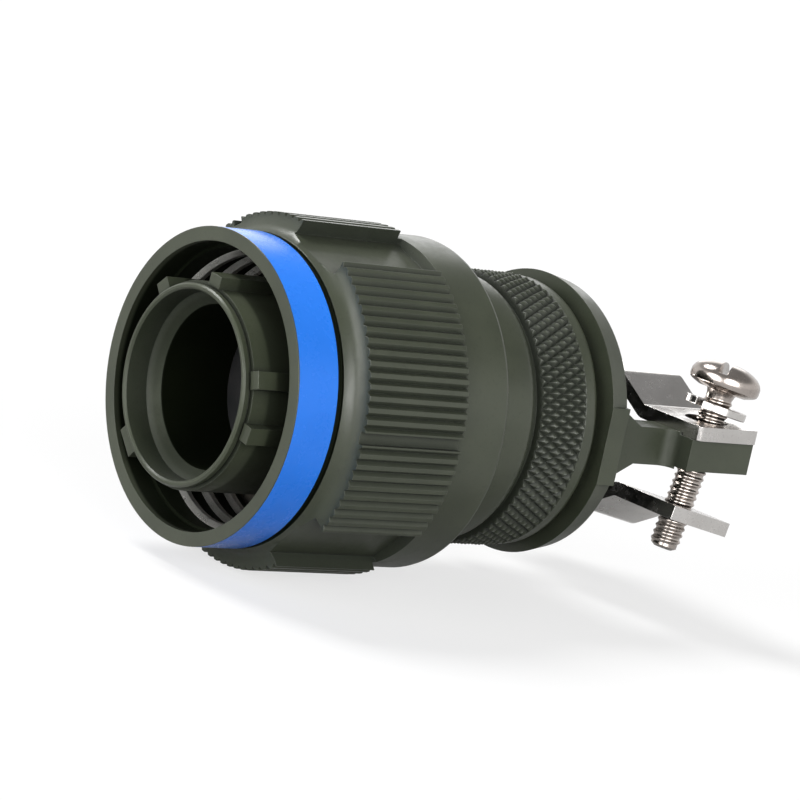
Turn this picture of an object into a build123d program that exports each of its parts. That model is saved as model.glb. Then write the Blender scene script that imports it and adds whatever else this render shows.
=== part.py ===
from build123d import *
import os
from math import cos, radians, sin, tan

# A circular cable plug with a threaded coupling ring, and a backshell with a two-saddle cable clamp.
# Sizes are in millimetres. X runs along the plug from its mating end to its cable end, and x = 0 is
# the front rim of the coupling ring. Z is up and stands square to the clamp's saddles.
# Angles are measured about X, from +Y towards +Z. The left side is the side at -Y.

# Fits between pieces
running_gap = 0.05
seat_gap = 0.02
open_gap = 0.35

# Plug shell: the barrel that enters the receptacle, its flange and the accessory thread behind
shell_front_x = -1.97
barrel_r = 9.4
barrel_wall = 1.2
lip_step = 0.25
lip_wall = 0.57
lip_length = 0.62
lip_groove_width = 0.25
lip_groove_depth = 0.2
lip_edge = 0.17
ledge_front_x = 0.43
ledge_length = 0.82
ledge_height = 1.13
insert_shoulder_x = 8.8
flange_x = 13.0
flange_thickness = 2.0
flange_r = 12.3
accessory_thread_r = 11.0

# Keys on the barrel: one wide main key and four narrow ones
key_front_x = -1.4
key_length = 9.0
key_height = 1.05
main_key_width = 2.8
minor_key_width = 1.6
main_key_angle = -45.2
minor_key_offsets = [95, 141, 208, 236]

# Coupling ring
ring_rim_r = 14.35
ring_entry_r = 13.05
ring_entry_depth = 2.6
thread_r = 12.75
band_length = 4.28
band_front_x = 0.12
band_thickness = 0.15
neck_r = 14.05
neck_length = 0.65
shoulder_front_r = 14.36
shoulder_length = 1.45
round_steps = 3
land_r = 16.25
land_back_x = 17.8
grip_back_r = 15.45
ring_back_x = 23.5
ring_back_rounding = 0.6
ring_rear_lip = 2.1
ring_chamber_r = 12.9
recess_count = 3
recess_angle = 108
recess_span = 25
recess_floor = 14.48
recess_overrun = 0.6
recess_ramp = 0.3
serrations_per_land = 26
serration_depth = 0.35
serration_width = 0.62
index_serration = 16
index_groove_width = 1.1
index_groove_depth = 0.6

# Ring retention and the ratchet that keeps the ring from shaking loose
retainer_x = 11.7
retainer_thickness = 0.8
retainer_groove_depth = 0.5
retainer_depth = 1.9
retainer_mouth = 5.0
ratchet_gap = 0.1
ratchet_length = 3.0
ratchet_r = 12.0
ratchet_teeth = 24
ratchet_tooth_depth = 0.35
detent_width = 1.8
detent_thickness = 0.35
detent_bumps = 3
detent_bump_width = 0.5
washer_thickness = 0.35
washer_height = 0.95
washer_width = 1.3

# Grounding spring on the barrel, and the seal at the barrel's root
spring_x = 9.7
spring_length = 2.2
spring_rise = 1.0
spring_sheet = 0.15
spring_fingers = 8
spring_slot_width = 0.4
spring_band = 0.35
root_seal_width = 0.95
root_seal_clearance = 0.6

# Insert: face seal, hard insulator, grommet and a ring of large socket contacts
face_seal_thickness = 1.0
insulator_length = 7.2
grommet_length = 9.0
grommet_edge = 0.5
contact_count = 5
contact_circle_r = 4.4
contact_r = 1.2
contact_front_depth = 0.6
contact_length = 13.0

# Backshell nut
nut_front_x = 23.9
nut_skirt_r = 12.65
nut_skirt_length = 5.23
nut_groove_r = 12.2
nut_groove_width = 0.47
knurl_r = 13.0
knurl_length = 5.4
knurl_grooves = 44
knurl_lean = 31
knurl_depth = 0.4
knurl_flank = 67
nut_collar_r = 12.8
nut_collar_length = 1.6
nut_edge = 0.2
nut_rear_lip = 1.7
nut_chamber_r = 11.55

# Backshell body: hub, flange and the two clamp arms
hub_r = 10.4
cable_bore_r = 7.6
nut_to_flange = 1.17
flange_front_r = 13.53
flange_back_r = 13.06
body_flange_thickness = 2.13
body_bore_edge = 0.6
hub_ring_thickness = 0.7
hub_ring_r = 11.2
hub_groove_depth = 0.5
hub_nose_length = 1.95
seal_groove_r = 9.5
seal_r = 0.5
arm_root_span = 33
arm_taper_length = 3.3
arm_neck_height = 3.6
arm_neck_outer = 11.5
arm_fillet = 1.2
arm_block_front_x = 47.4
arm_block_length = 7.95
arm_block_height = 3.08
arm_block_width = 5.7

# Cable clamp: saddles, screws and lock washers. The screws stand loose and lean to the rear
screw_x = 51.3
screw_spacing = 23.0
screw_lean = 11.0
screw_hole_r = 1.9
saddle_length = 7.7
saddle_thickness = 1.36
saddle_end = 3.5
saddle_crown_half = 2.5
saddle_foot_half = 6.6
saddle_rise = 2.36
saddle_bend_r = 1.2
saddle_corner = 0.5
upper_saddle_hole_r = 2.1
saddle_lift = 0.04
lower_saddle_drop = 6.3
screw_r = 1.42
screw_tip_drop = 10.0
screw_tip_edge = 0.3
head_underside = 5.9
head_r = 3.45
head_height = 2.6
head_edge_height = 1.3
head_top_r = 2.2
head_shoulder_r = 3.1
head_shoulder_height = 0.9
slot_width = 0.9
slot_depth = 1.1
slot_angle = -15
lock_washer_r = 3.05
lock_washer_thickness = 0.9
lock_washer_gap = 0.6
lock_washer_drop = 2.05


def half_section(*points):
    """The half section of a turned piece, from its corners as (place along X, radius)."""
    with BuildSketch(Plane.XZ) as section:
        with BuildLine():
            Polyline(*points, close=True)
        make_face()
    return section.sketch


def radial_plane(angle):
    """The plane through the axis whose own y direction points outwards at this angle."""
    return Plane.XY.rotated((angle, 0, 0))


def finish(piece, name):
    """Names a finished piece and writes it."""
    piece.part.label = name
    export_step(piece.part, "parts/" + name + ".step")


os.makedirs("parts", exist_ok=True)

# Places along the axis where the nut, the backshell and the shell meet
knurl_front_x = nut_front_x + nut_skirt_length + nut_groove_width
knurl_back_x = knurl_front_x + knurl_length
nut_back_x = knurl_back_x + nut_collar_length
nut_lip_x = nut_back_x - nut_rear_lip
hub_ring_x = nut_lip_x - open_gap - hub_ring_thickness
shell_back_x = hub_ring_x - hub_nose_length

# Plug shell
lip_outer_r = barrel_r - lip_step
lip_bore_r = lip_outer_r - lip_wall
front_bore_r = lip_bore_r - ledge_height
insert_bore_r = barrel_r - barrel_wall
lip_groove_x = shell_front_x + lip_length
barrel_front_x = lip_groove_x + lip_groove_width
flange_back_x = flange_x + flange_thickness
shell_section = half_section(
    (shell_front_x, lip_bore_r),
    (shell_front_x, lip_outer_r),
    (lip_groove_x, lip_outer_r),
    (lip_groove_x, lip_outer_r - lip_groove_depth),
    (barrel_front_x, lip_outer_r - lip_groove_depth),
    (barrel_front_x, barrel_r),
    (flange_x, barrel_r),
    (flange_x, flange_r),
    (flange_back_x, flange_r),
    (flange_back_x, accessory_thread_r),
    (shell_back_x, accessory_thread_r),
    (shell_back_x, insert_bore_r),
    (insert_shoulder_x, insert_bore_r),
    (insert_shoulder_x, front_bore_r),
    (ledge_front_x + ledge_length, front_bore_r),
    (ledge_front_x, lip_bore_r),
)
with BuildPart() as plug_shell:
    revolve(shell_section, axis=Axis.X)
    chamfer(plug_shell.edges().filter_by_position(Axis.X, shell_front_x, shell_front_x), lip_edge)
    for offset_angle in [0] + minor_key_offsets:
        key_width = minor_key_width if offset_angle else main_key_width
        with BuildSketch(Plane.YZ.offset(key_front_x)):
            with PolarLocations(0, 1, main_key_angle + offset_angle):
                Rectangle(barrel_r + key_height, key_width, align=(Align.MIN, Align.CENTER))
            Circle(barrel_r - running_gap, mode=Mode.SUBTRACT)
        extrude(amount=key_length)
finish(plug_shell, "plug_shell")

# Grounding spring: a band of bowed fingers round the barrel
spring_foot_r = barrel_r + seat_gap
spring_middle_x = spring_x + spring_length / 2
spring_section = half_section(
    (spring_x, spring_foot_r),
    (spring_x + spring_band, spring_foot_r),
    (spring_middle_x, spring_foot_r + spring_rise - spring_sheet),
    (spring_x + spring_length - spring_band, spring_foot_r),
    (spring_x + spring_length, spring_foot_r),
    (spring_x + spring_length, spring_foot_r + spring_sheet),
    (spring_x + spring_length - spring_band, spring_foot_r + spring_sheet),
    (spring_middle_x, spring_foot_r + spring_rise),
    (spring_x + spring_band, spring_foot_r + spring_sheet),
    (spring_x, spring_foot_r + spring_sheet),
)
with BuildPart() as ground_spring:
    revolve(spring_section, axis=Axis.X)
    with BuildSketch(Plane.YZ.offset(spring_x + spring_band)):
        with PolarLocations(spring_foot_r + spring_rise, spring_fingers):
            Rectangle(4 * spring_rise, spring_slot_width)
    extrude(amount=spring_length - 2 * spring_band, mode=Mode.SUBTRACT)
finish(ground_spring, "ground_spring")

# Seal at the root of the barrel, against the flange and clear of the snap ring round it
retainer_outer_r = thread_r + retainer_groove_depth - seat_gap
retainer_inner_r = retainer_outer_r - retainer_depth
with BuildPart() as root_seal:
    with BuildSketch(Plane.YZ.offset(flange_x - root_seal_width)):
        Circle(retainer_inner_r - root_seal_clearance)
        Circle(barrel_r + seat_gap, mode=Mode.SUBTRACT)
    extrude(amount=root_seal_width)
finish(root_seal, "barrel_seal")

# Insert: the face seal rests on the shell's shoulder, and the insulator and grommet follow it
insert_r = insert_bore_r - seat_gap
insulator_x = insert_shoulder_x + face_seal_thickness
grommet_x = insulator_x + insulator_length
with BuildPart() as face_seal:
    with BuildSketch(Plane.YZ.offset(insert_shoulder_x)):
        Circle(insert_r)
        with PolarLocations(contact_circle_r, contact_count):
            Circle(contact_r, mode=Mode.SUBTRACT)
    extrude(amount=face_seal_thickness)
finish(face_seal, "face_seal")

with BuildPart() as insulator:
    with BuildSketch(Plane.YZ.offset(insulator_x)):
        Circle(insert_r)
        with PolarLocations(contact_circle_r, contact_count):
            Circle(contact_r + running_gap, mode=Mode.SUBTRACT)
    extrude(amount=insulator_length)
finish(insulator, "insulator")

with BuildPart() as grommet:
    with BuildSketch(Plane.YZ.offset(grommet_x)):
        Circle(insert_r)
        with PolarLocations(contact_circle_r, contact_count):
            Circle(contact_r + running_gap, mode=Mode.SUBTRACT)
    extrude(amount=grommet_length)
    chamfer(grommet.edges().filter_by_position(Axis.X, grommet_x + grommet_length,
                                               grommet_x + grommet_length)
            .sort_by(SortBy.RADIUS)[-1], grommet_edge)
finish(grommet, "grommet")

# Socket contacts, one solid each
with BuildPart() as contacts:
    with BuildSketch(Plane.YZ.offset(insulator_x + contact_front_depth)):
        with PolarLocations(contact_circle_r, contact_count):
            Circle(contact_r)
    extrude(amount=contact_length)
finish(contacts, "contacts")

# Coupling ring
band_back_x = band_front_x + band_length
shoulder_x = band_back_x + neck_length
land_front_x = shoulder_x + shoulder_length
lip_x = ring_back_x - ring_rear_lip
ring_lip_r = accessory_thread_r + running_gap
band_seat_r = ring_rim_r - band_thickness
quarter_steps = [radians(90 * step / round_steps) for step in range(round_steps + 1)]
shoulder_curve = [(shoulder_x + shoulder_length * sin(angle),
                   shoulder_front_r + shoulder_length * (1 - cos(angle))) for angle in quarter_steps]
rear_curve = [(ring_back_x - ring_back_rounding * (1 - sin(angle)),
               grip_back_r - ring_back_rounding * (1 - cos(angle))) for angle in quarter_steps]
ring_section = half_section(
    (0, ring_entry_r),
    (0, ring_rim_r),
    (band_front_x, ring_rim_r),
    (band_front_x, band_seat_r),
    (band_back_x, band_seat_r),
    (band_back_x, neck_r),
    (shoulder_x, neck_r),
    *shoulder_curve,
    (land_front_x, land_r),
    (land_back_x, land_r),
    (land_back_x, grip_back_r),
    *rear_curve,
    (ring_back_x, ring_lip_r),
    (lip_x, ring_lip_r),
    (lip_x, ring_chamber_r),
    (retainer_x + retainer_thickness, ring_chamber_r),
    (retainer_x + retainer_thickness, thread_r + retainer_groove_depth),
    (retainer_x, thread_r + retainer_groove_depth),
    (retainer_x, thread_r),
    (ring_entry_depth, thread_r),
    (ring_entry_depth, ring_entry_r),
)
land_span = 360 / recess_count - recess_span
serration_pitch = land_span / serrations_per_land
serration_root_r = land_r - serration_depth
recess_width = 2 * land_r * sin(radians(recess_span / 2))
cut_height = 2 * serration_depth
cut_half_width = serration_width * cut_height / serration_depth / 2
first_serration = recess_angle + recess_span / 2 + serration_pitch * 0.4
recess_back_x = land_back_x + recess_overrun
with BuildPart() as coupling_ring:
    revolve(ring_section, axis=Axis.X)
    # Flat-bottomed recesses between the grip lands, each with a steep end behind the lands
    for recess in range(recess_count):
        with BuildSketch(radial_plane(recess_angle + recess * 360 / recess_count)):
            with BuildLine():
                Polyline(
                    (band_back_x + neck_length / 2, recess_floor),
                    (recess_back_x - recess_ramp, recess_floor),
                    (recess_back_x, grip_back_r),
                    (recess_back_x, land_r + cut_height),
                    (band_back_x + neck_length / 2, land_r + cut_height),
                    close=True,
                )
            make_face()
        extrude(amount=recess_width / 2, both=True, mode=Mode.SUBTRACT)
    # Straight serrations along each land, one of them cut wide and deep as an index groove
    for land in range(recess_count):
        first_angle = first_serration + 360 * land / recess_count
        with BuildSketch(Plane.YZ.offset(shoulder_x)):
            with PolarLocations(serration_root_r, serrations_per_land, first_angle,
                                serration_pitch * (serrations_per_land - 1), endpoint=True):
                Polygon((0, 0), (cut_height, -cut_half_width), (cut_height, cut_half_width), align=None)
            with PolarLocations(land_r - index_groove_depth, 1, first_angle + index_serration * serration_pitch):
                Rectangle(index_groove_depth + cut_height, index_groove_width,
                          align=(Align.MIN, Align.CENTER))
        extrude(amount=land_back_x - shoulder_x, mode=Mode.SUBTRACT)
finish(coupling_ring, "coupling_ring")

# Colour band, seated in its shallow turned seat behind the ring's rim
with BuildPart() as colour_band:
    with BuildSketch(Plane.YZ.offset(band_front_x)):
        Circle(ring_rim_r)
        Circle(band_seat_r, mode=Mode.SUBTRACT)
    extrude(amount=band_length)
finish(colour_band, "colour_band")

# Snap ring that stops the coupling ring from sliding back off the flange
with BuildPart() as ring_retainer:
    with BuildSketch(Plane.YZ.offset(retainer_x + seat_gap)):
        Circle(retainer_outer_r)
        Circle(retainer_inner_r, mode=Mode.SUBTRACT)
        with Locations((0, retainer_outer_r)):
            Rectangle(retainer_mouth, 2 * retainer_depth + retainer_mouth, mode=Mode.SUBTRACT)
    extrude(amount=retainer_thickness - 2 * seat_gap)
finish(ring_retainer, "ring_retainer")

# Ratchet: a toothed ring fixed behind the flange, and a sprung ring with bumps that turns with
# the coupling ring
tooth_step = 360 / ratchet_teeth
with BuildPart() as ratchet_ring:
    with BuildSketch(Plane.YZ.offset(flange_back_x)):
        Circle(ratchet_r)
        Circle(accessory_thread_r + seat_gap, mode=Mode.SUBTRACT)
        with PolarLocations(ratchet_r - ratchet_tooth_depth, ratchet_teeth):
            Polygon((0, 0), (2 * ratchet_tooth_depth, -2 * ratchet_tooth_depth),
                    (2 * ratchet_tooth_depth, 2 * ratchet_tooth_depth), align=None, mode=Mode.SUBTRACT)
    extrude(amount=ratchet_length)
finish(ratchet_ring, "ratchet_ring")

detent_outer_r = ring_chamber_r - seat_gap
detent_inner_r = detent_outer_r - detent_thickness
detent_tip_r = ratchet_r - ratchet_tooth_depth + ratchet_gap
with BuildPart() as detent_spring:
    with BuildSketch(Plane.YZ.offset(flange_back_x + (ratchet_length - detent_width) / 2)):
        Circle(detent_outer_r)
        Circle(detent_inner_r, mode=Mode.SUBTRACT)
        with PolarLocations(detent_tip_r, detent_bumps):
            Polygon((0, -detent_bump_width / 8), (detent_inner_r - detent_tip_r + seat_gap, -detent_bump_width),
                    (detent_inner_r - detent_tip_r + seat_gap, detent_bump_width), (0, detent_bump_width / 8),
                    align=None)
    extrude(amount=detent_width)
finish(detent_spring, "detent_spring")

# Spring washer between the ratchet and the ring's rear lip, a shallow cone
washer_inner_r = accessory_thread_r + open_gap
washer_back_x = lip_x - seat_gap
washer_section = half_section(
    (washer_back_x, washer_inner_r),
    (washer_back_x, washer_inner_r + washer_thickness),
    (washer_back_x - washer_height + washer_thickness, washer_inner_r + washer_width),
    (washer_back_x - washer_height, washer_inner_r + washer_width),
    (washer_back_x - washer_height, washer_inner_r + washer_width - washer_thickness),
    (washer_back_x - washer_thickness, washer_inner_r),
)
with BuildPart() as spring_washer:
    revolve(washer_section, axis=Axis.X)
finish(spring_washer, "spring_washer")

# Backshell nut: smooth skirt, grip band and rear collar
nut_lip_r = hub_r + open_gap
nut_thread_r = accessory_thread_r + running_gap
nut_chamber_x = shell_back_x + open_gap
nut_section = half_section(
    (nut_front_x, nut_thread_r + nut_edge),
    (nut_front_x, nut_skirt_r - nut_edge),
    (nut_front_x + nut_edge, nut_skirt_r),
    (knurl_front_x - nut_groove_width, nut_skirt_r),
    (knurl_front_x - nut_groove_width, nut_groove_r),
    (knurl_back_x, nut_groove_r),
    (knurl_back_x, nut_collar_r),
    (nut_back_x - nut_edge, nut_collar_r),
    (nut_back_x, nut_collar_r - nut_edge),
    (nut_back_x, nut_lip_r),
    (nut_lip_x, nut_lip_r),
    (nut_lip_x, nut_chamber_r),
    (nut_chamber_x, nut_chamber_r),
    (nut_chamber_x, nut_thread_r),
    (nut_front_x + nut_edge, nut_thread_r),
)
# Its grip band: two families of slanting V grooves cross and leave diamonds between them
knurl_middle_x = (knurl_front_x + knurl_back_x) / 2
groove_half = 2 * knurl_depth * tan(radians(knurl_flank))
groove_planes = []
for lean in (-radians(knurl_lean), radians(knurl_lean)):
    for groove in range(knurl_grooves):
        turn = radians(groove * 360 / knurl_grooves)
        groove_planes.append(Plane(
            origin=(knurl_middle_x, 0, 0),
            x_dir=(sin(lean), sin(turn) * cos(lean), -cos(turn) * cos(lean)),
            z_dir=(cos(lean), -sin(turn) * sin(lean), cos(turn) * sin(lean)),
        ))
with BuildPart() as grip_band:
    with BuildSketch(Plane.YZ.offset(knurl_front_x)):
        Circle(knurl_r)
        Circle(nut_groove_r, mode=Mode.SUBTRACT)
    extrude(amount=knurl_length)
    with BuildSketch(*groove_planes):
        Polygon((0, knurl_r - knurl_depth), (groove_half, knurl_r + knurl_depth),
                (-groove_half, knurl_r + knurl_depth), align=None)
    extrude(amount=knurl_length, both=True, mode=Mode.SUBTRACT)
with BuildPart() as backshell_nut:
    revolve(nut_section, axis=Axis.X)
    add(grip_band.part)
finish(backshell_nut, "backshell_nut")

# Backshell body: a hub inside the nut, the flange behind it and two arms that carry the clamp
flange_front_x = nut_back_x + nut_to_flange
body_back_x = flange_front_x + body_flange_thickness
body_section = half_section(
    (shell_back_x, cable_bore_r + body_bore_edge),
    (shell_back_x, hub_r),
    (hub_ring_x, hub_r),
    (hub_ring_x, hub_r - hub_groove_depth),
    (hub_ring_x + hub_ring_thickness, hub_r - hub_groove_depth),
    (hub_ring_x + hub_ring_thickness, hub_r),
    (flange_front_x, hub_r),
    (flange_front_x, flange_front_r),
    (body_back_x, flange_back_r),
    (body_back_x, cable_bore_r),
    (shell_back_x + body_bore_edge, cable_bore_r),
)
arm_block_back_x = arm_block_front_x + arm_block_length
arm_outer = screw_spacing / 2 + arm_block_width / 2
arm_inner = screw_spacing / 2 - arm_block_width / 2
arm_root_half = flange_back_r * sin(radians(arm_root_span / 2))
with BuildPart() as backshell_body:
    revolve(body_section, axis=Axis.X)
    for side in (-1, 1):
        # The arm seen from the side, from inside the flange to the end of its block
        with BuildSketch(Plane.XZ.offset(-side * arm_inner)):
            with BuildLine():
                Polyline(
                    (flange_front_x, -arm_root_half),
                    (body_back_x, -arm_root_half),
                    (body_back_x + arm_taper_length, -arm_neck_height / 2),
                    (arm_block_front_x, -arm_neck_height / 2),
                    (arm_block_front_x, -arm_block_height / 2),
                    (arm_block_back_x, -arm_block_height / 2),
                    (arm_block_back_x, arm_block_height / 2),
                    (arm_block_front_x, arm_block_height / 2),
                    (arm_block_front_x, arm_neck_height / 2),
                    (body_back_x + arm_taper_length, arm_neck_height / 2),
                    (body_back_x, arm_root_half),
                    (flange_front_x, arm_root_half),
                    close=True,
                )
            make_face()
        extrude(amount=-side * arm_block_width)
        # The outside of the neck is milled back between the flange and the block
        with BuildSketch(Plane.XY.offset(-arm_root_half)):
            with Locations(((body_back_x + arm_block_front_x) / 2, side * (arm_neck_outer + arm_outer / 2))):
                RectangleRounded(arm_block_front_x - body_back_x, arm_outer, arm_fillet)
        extrude(amount=2 * arm_root_half, mode=Mode.SUBTRACT)
        # What stands outside the flange's edge in front of its back face is turned away
        with BuildSketch(Plane.XY.offset(-arm_root_half)):
            with Locations((flange_front_x, side * flange_back_r)):
                Rectangle(body_flange_thickness, arm_outer,
                          align=(Align.MIN, Align.MIN if side > 0 else Align.MAX))
        extrude(amount=2 * arm_root_half, mode=Mode.SUBTRACT)
        with BuildSketch(Plane.XY.offset(-arm_block_height)):
            with Locations((screw_x, side * screw_spacing / 2)):
                Circle(screw_hole_r)
        extrude(amount=2 * arm_block_height, mode=Mode.SUBTRACT)
    with BuildSketch(Plane.YZ.offset(shell_back_x)):
        Circle(seal_groove_r + seal_r)
        Circle(seal_groove_r - seal_r, mode=Mode.SUBTRACT)
    extrude(amount=2 * seal_r, mode=Mode.SUBTRACT)
finish(backshell_body, "backshell_body")

# Sealing ring between the backshell's front face and the shell
with BuildPart() as backshell_seal:
    with BuildSketch(Plane.YZ.offset(shell_back_x + seat_gap)):
        Circle(seal_groove_r + seal_r - seat_gap)
        Circle(seal_groove_r - seal_r + seat_gap, mode=Mode.SUBTRACT)
    extrude(amount=2 * (seal_r - seat_gap))
finish(backshell_seal, "backshell_seal")

# Snap ring in the hub's groove: the nut's rear lip pulls the backshell on by it
with BuildPart() as nut_retainer:
    with BuildSketch(Plane.YZ.offset(hub_ring_x + seat_gap)):
        Circle(hub_ring_r)
        Circle(hub_r - hub_groove_depth + seat_gap, mode=Mode.SUBTRACT)
    extrude(amount=hub_ring_thickness - 2 * seat_gap)
finish(nut_retainer, "nut_retainer")

# Saddles: a bent strip with a flat foot at each end, the same form above and below the cable
saddle_span = screw_spacing + 2 * saddle_end
saddle_line = [
    (-saddle_span / 2, 0),
    (-saddle_foot_half, 0),
    (-saddle_crown_half, saddle_rise),
    (saddle_crown_half, saddle_rise),
    (saddle_foot_half, 0),
    (saddle_span / 2, 0),
]
upper_foot_z = arm_block_height / 2 + saddle_lift + saddle_thickness / 2
saddle_plane = Plane(origin=(screw_x, 0, upper_foot_z), x_dir=(0, 1, 0), z_dir=(1, 0, 0))
with BuildPart() as upper_saddle:
    with BuildSketch(saddle_plane.offset(-saddle_length / 2)):
        with BuildLine():
            FilletPolyline(*saddle_line, radius=saddle_bend_r)
        trace(line_width=saddle_thickness)
    extrude(amount=saddle_length)
    fillet(upper_saddle.edges().filter_by(Axis.Z), saddle_corner)
    with BuildSketch(Plane.XY.offset(upper_foot_z - saddle_thickness)):
        with Locations((screw_x, -screw_spacing / 2), (screw_x, screw_spacing / 2)):
            Circle(upper_saddle_hole_r)
    extrude(amount=2 * saddle_thickness, mode=Mode.SUBTRACT)
finish(upper_saddle, "upper_saddle")

# The screws lean to the rear, and the lower saddle hangs square to them
lean_x = sin(radians(screw_lean))
lean_z = cos(radians(screw_lean))
lower_origin = (screw_x - lower_saddle_drop * lean_x, 0, -lower_saddle_drop * lean_z)
lower_plane = Plane(origin=lower_origin, x_dir=(0, 1, 0), z_dir=(lean_z, 0, -lean_x))
with BuildPart() as lower_saddle:
    with BuildSketch(lower_plane.offset(-saddle_length / 2)):
        with BuildLine():
            FilletPolyline(*[(y, -z) for y, z in saddle_line], radius=saddle_bend_r)
        trace(line_width=saddle_thickness)
    extrude(amount=saddle_length)
    for side in (-1, 1):
        with BuildSketch(Plane(origin=(lower_origin[0], side * screw_spacing / 2, lower_origin[2]),
                               z_dir=(lean_x, 0, lean_z))):
            Circle(screw_r + running_gap)
        extrude(amount=saddle_thickness, both=True, mode=Mode.SUBTRACT)
finish(lower_saddle, "lower_saddle")

# Clamp screws, each with a slotted head, and the split lock washers under their heads
for side, name in ((-1, "left"), (1, "right")):
    screw_plane = Plane(origin=(screw_x, side * screw_spacing / 2, 0), x_dir=(lean_z, 0, -lean_x),
                        z_dir=(lean_x, 0, lean_z))
    with BuildPart() as clamp_screw:
        with BuildSketch(screw_plane.offset(-screw_tip_drop)):
            Circle(screw_r)
        extrude(amount=screw_tip_drop + head_underside)
        chamfer(clamp_screw.faces().sort_by(Axis.Z)[0].edges(), screw_tip_edge)
        with BuildSketch(Plane(origin=screw_plane.origin, x_dir=screw_plane.x_dir, z_dir=(0, -1, 0))):
            with BuildLine():
                Polyline(
                    (0, head_underside),
                    (head_r, head_underside),
                    (head_r, head_underside + head_edge_height),
                    (head_shoulder_r, head_underside + head_height - head_shoulder_height),
                    (head_top_r, head_underside + head_height),
                    (0, head_underside + head_height),
                    close=True,
                )
            make_face()
        revolve(axis=Axis(screw_plane.origin, screw_plane.z_dir))
        with BuildSketch(screw_plane.offset(head_underside + head_height)):
            Rectangle(3 * head_r, slot_width, rotation=slot_angle)
        extrude(amount=-slot_depth, mode=Mode.SUBTRACT)
    finish(clamp_screw, name + "_clamp_screw")
    with BuildPart() as lock_washer:
        with BuildSketch(screw_plane.offset(head_underside - lock_washer_drop)):
            Circle(lock_washer_r)
            Circle(screw_r + running_gap, mode=Mode.SUBTRACT)
            with Locations((0, lock_washer_r)):
                Rectangle(lock_washer_gap, 2 * lock_washer_r, mode=Mode.SUBTRACT)
        extrude(amount=lock_washer_thickness)
    finish(lock_washer, name + "_lock_washer")
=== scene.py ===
import math

import bpy
from mathutils import Matrix, Vector


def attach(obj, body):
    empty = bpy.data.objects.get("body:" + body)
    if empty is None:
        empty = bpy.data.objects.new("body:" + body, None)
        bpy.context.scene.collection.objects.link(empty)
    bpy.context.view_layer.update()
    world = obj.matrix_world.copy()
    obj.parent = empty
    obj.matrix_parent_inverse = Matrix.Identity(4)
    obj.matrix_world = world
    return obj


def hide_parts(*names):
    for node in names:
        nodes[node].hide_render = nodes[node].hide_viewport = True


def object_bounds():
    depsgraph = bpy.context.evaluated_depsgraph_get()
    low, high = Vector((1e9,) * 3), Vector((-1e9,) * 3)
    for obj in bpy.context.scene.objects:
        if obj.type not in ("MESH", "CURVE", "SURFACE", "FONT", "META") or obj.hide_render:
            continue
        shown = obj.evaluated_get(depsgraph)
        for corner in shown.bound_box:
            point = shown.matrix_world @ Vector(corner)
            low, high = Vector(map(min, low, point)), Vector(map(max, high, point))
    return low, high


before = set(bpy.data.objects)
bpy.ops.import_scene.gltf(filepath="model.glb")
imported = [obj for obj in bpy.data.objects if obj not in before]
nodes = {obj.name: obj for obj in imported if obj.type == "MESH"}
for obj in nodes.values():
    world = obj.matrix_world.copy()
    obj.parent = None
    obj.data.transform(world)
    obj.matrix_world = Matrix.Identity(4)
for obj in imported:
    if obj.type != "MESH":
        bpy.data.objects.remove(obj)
cad_low, cad_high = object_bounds()
MM = 0.001

# The camera stands where the photograph was taken from, at the plug's mating end
CAMERA_PLACE = Vector((-214.9, -282.3, 61.4)) * MM
CAMERA_TARGET = Vector((26.8, 4.2, -0.8)) * MM
CAMERA_ROLL = math.radians(12.18)
CAMERA_LENS = 181.4
SENSOR_WIDTH = 36

# Lamps: above and a little behind, faint over the cable end, low at the near side, and ahead of the mating
# end. Each has the direction that it shines from, its strength and how many degrees it spans.
LAMPS = {
    "key_lamp": ((-0.16, 0.55, 0.82), 2.6, 22),
    "back_lamp": ((0.60, 0.72, 0.35), 0.25, 30),
    "side_lamp": ((-0.35, -0.90, 0.20), 2.9, 46),
    "front_lamp": ((-0.98, -0.06, 0.12), 2.8, 56),
}

# Room: its light on the plug, and how much of its white the camera and the metal see
ROOM_LIGHT = 0.10
CEILING = 0.3
SEEN_WHITE = 0.7
MIRRORED_WHITE = 0.1
MIRRORED_SHEET = 0.6
FLOOR_SIZE = 6
FLOOR_DROP = 0.0002
FLOOR_BOUNCE = (0.11, 0.11, 0.11, 1)
FLOOR_WHITE = (0.95, 0.95, 0.95, 1)

# Coupling thread inside the ring: three starts
COUPLING_THREAD_R = 12.75
COUPLING_CREST_R = 12.27
COUPLING_LEAD = 7.62
COUPLING_STARTS = 3
COUPLING_THREAD_X = (2.9, 11.6)
COUPLING_HALF_ROOT = 0.62
COUPLING_HALF_CREST = 0.24
COUPLING_STEPS = 96

# Backshell nut: a smooth skirt, a groove, a grip band of diamonds and a collar
NUT_FRONT_X = 23.9
NUT_REAR_X = 36.6
NUT_SKIRT_R = 12.65
NUT_GROOVE_R = 12.02
NUT_COLLAR_R = 12.8
NUT_THREAD_R = 11.05
NUT_RETAINER_R = 11.55
NUT_REAR_BORE_R = 10.75
KNURL_COUNT = 80
KNURL_ROWS = 6
KNURL_X = (29.62, 35.0)
KNURL_ROOT_R = 12.56
KNURL_TOP_R = 13.05
KNURL_RUNOUT = 0.10
KNURL_TIP_BEVEL = 0.2

# Clamp screws: they lean to the rear, and their threads are fine
SCREW_X = 51.3
SCREW_SIDE = 11.5
SCREW_LEAN = math.radians(11)
SCREW_PITCH = 0.635
SCREW_R = 1.42
SCREW_ROOT_R = 1.26
SCREW_TIP = 10.0
HEAD_UNDERSIDE = 5.9
HEAD_R = 3.45
HEAD_HEIGHT = 2.78
SLOT_WIDTH = 0.9
SLOT_DEPTH = 1.15
SLOT_ANGLE = math.radians(36)
HEAD_STEPS = 64
CORE_STEPS = 32
THREAD_STEPS = 28

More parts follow.
